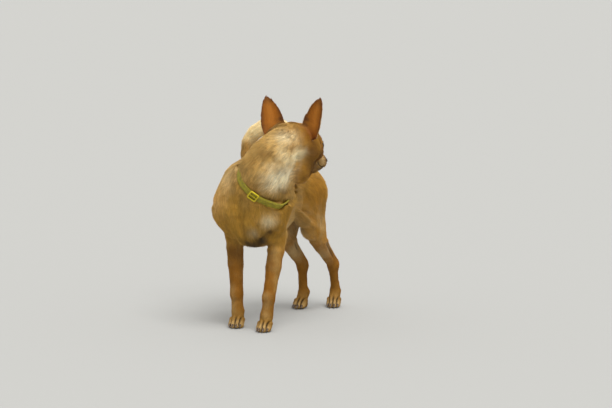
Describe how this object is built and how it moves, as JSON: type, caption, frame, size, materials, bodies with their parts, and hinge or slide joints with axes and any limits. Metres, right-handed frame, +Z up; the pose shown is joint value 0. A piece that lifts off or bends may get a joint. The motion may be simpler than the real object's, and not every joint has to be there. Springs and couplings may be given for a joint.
{
  "type": "dog",
  "caption": "Short-coated fawn dog with large upright ears and a curled tail, standing on all fours, head turned back over its shoulder, wearing a buckled collar.",
  "frame": {"origin": "on the floor, under the middle of the model's bounding box", "axes": "+Z up, +X to the dog's left, -Y to the dog's front"},
  "size_m": [0.2774, 0.4062, 0.4943],
  "materials": {
    "coat": "short flat fur, fawn with cream underparts",
    "ear_coat": "very short rust-brown fur, dark at the rim and tip",
    "eye": "wet dark brown eye",
    "nose": "moist black skin with a pebbled grain",
    "claw": "dark translucent horn",
    "collar_webbing": "woven neon yellow-green nylon webbing",
    "collar_buckle": "moulded yellow acetal"
  },
  "bodies": {
    "root": {"head": "coat", "neck": "coat", "trunk": "coat", "tail": "coat", "upper_arm_left": "coat", "upper_arm_right": "coat", "foreleg_left": "coat", "foreleg_right": "coat", "forepaw_left": "coat", "forepaw_right": "coat", "thigh_left": "coat", "thigh_right": "coat", "hind_leg_left": "coat", "hind_leg_right": "coat", "hind_paw_left": "coat", "hind_paw_right": "coat", "ear_left": "ear_coat", "ear_right": "ear_coat", "eye_left": "eye", "eye_right": "eye", "nose": "nose", "claw_fore_left_1": "claw", "claw_fore_left_2": "claw", "claw_fore_left_3": "claw", "claw_fore_left_4": "claw", "claw_fore_right_1": "claw", "claw_fore_right_2": "claw", "claw_fore_right_3": "claw", "claw_fore_right_4": "claw", "claw_hind_left_1": "claw", "claw_hind_left_2": "claw", "claw_hind_left_3": "claw", "claw_hind_left_4": "claw", "claw_hind_right_1": "claw", "claw_hind_right_2": "claw", "claw_hind_right_3": "claw", "claw_hind_right_4": "claw", "collar_strap": "collar_webbing", "collar_buckle": "collar_buckle", "collar_pin": "collar_buckle"}
  },
  "joints": []
}
